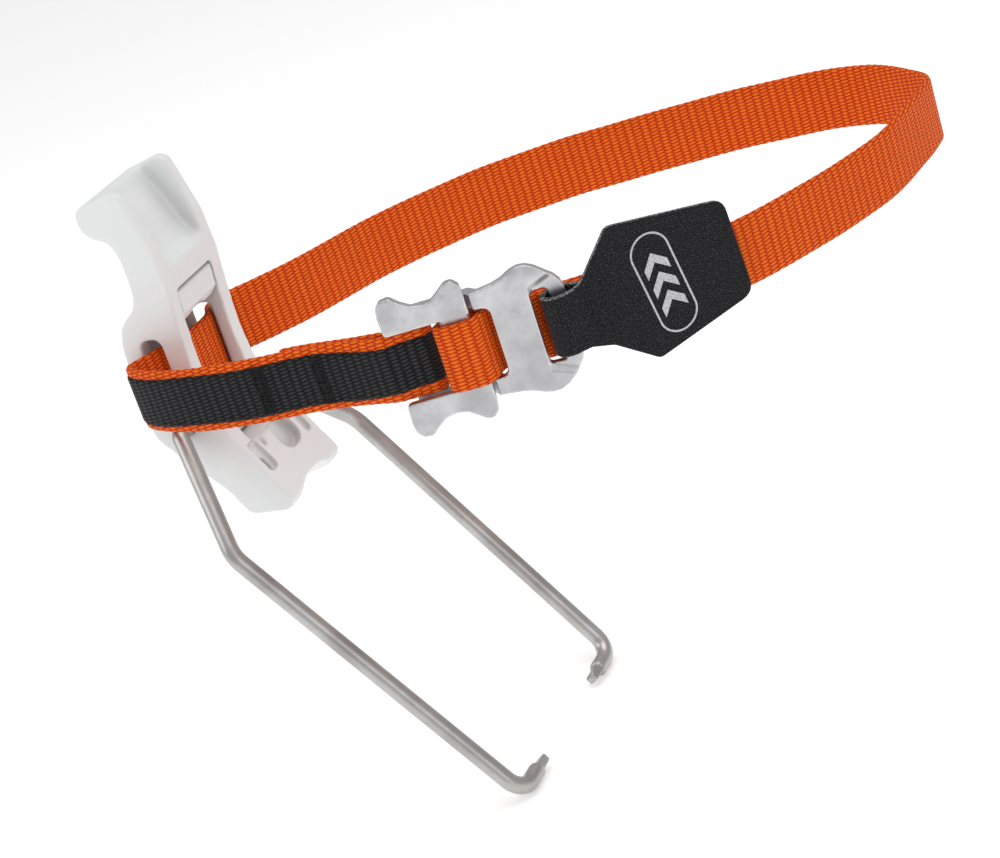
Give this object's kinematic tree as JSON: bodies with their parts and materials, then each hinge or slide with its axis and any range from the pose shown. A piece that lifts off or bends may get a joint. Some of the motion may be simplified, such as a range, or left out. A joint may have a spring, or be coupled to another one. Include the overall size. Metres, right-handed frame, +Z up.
{
  "type": "heel lever binding",
  "caption": "Heel binding of a crampon: bent wire bail with inward hooks, plastic heel lever turning on it, and a webbing ankle strap with slider buckle and pull tab.",
  "frame": {"origin": "midway between the two wire hooks, on the axis they turn on in the crampon's heel", "axes": "+X across the boot toward the buckle side, along the hook axis, +Y toward the toe, +Z up with the boot standing"},
  "size_m": [0.1437, 0.1635, 0.1487],
  "materials": {
    "wire": "satin drawn wire",
    "lever": "satin moulded",
    "keeper": "satin moulded",
    "webbing": "ribbed polyester weave",
    "tape": "ribbed weave",
    "thread": "sewn thread",
    "thread_grey": "sewn thread",
    "plate": "tumbled satin",
    "tab": "laminated knit"
  },
  "bodies": {
    "wire": {"wire_bail": "wire"},
    "lever": {"lever_body": "lever", "wire_keeper": "keeper", "ankle_strap": "webbing", "strap_tape": "tape", "loop_tacks": "thread", "tape_stitches": "thread", "strap_tail": "webbing", "tail_tack": "thread", "slider_plate": "plate"},
    "buckle_frame": {"buckle_frame": "plate", "end_loop": "webbing"},
    "pull_tab": {"pull_tab": "tab", "tab_stitches": "thread_grey"}
  },
  "joints": [
    {"name": "lever_pivot", "type": "hinge", "parent": "wire", "child": "lever", "pos_m": [0, -0.0628, 0.09], "axis": [1, 0, 0], "range_deg": [0, 110]},
    {"name": "buckle_frame_tilt", "type": "hinge", "parent": "lever", "child": "buckle_frame", "pos_m": [0.01412, 0.01537, 0.1013], "axis": [0, 0, -1], "range_deg": [0, 22]},
    {"name": "tab_swing", "type": "hinge", "parent": "buckle_frame", "child": "pull_tab", "pos_m": [0.0049, 0.03262, 0.1013], "axis": [0, 0, -1], "range_deg": [0, 80]}
  ]
}
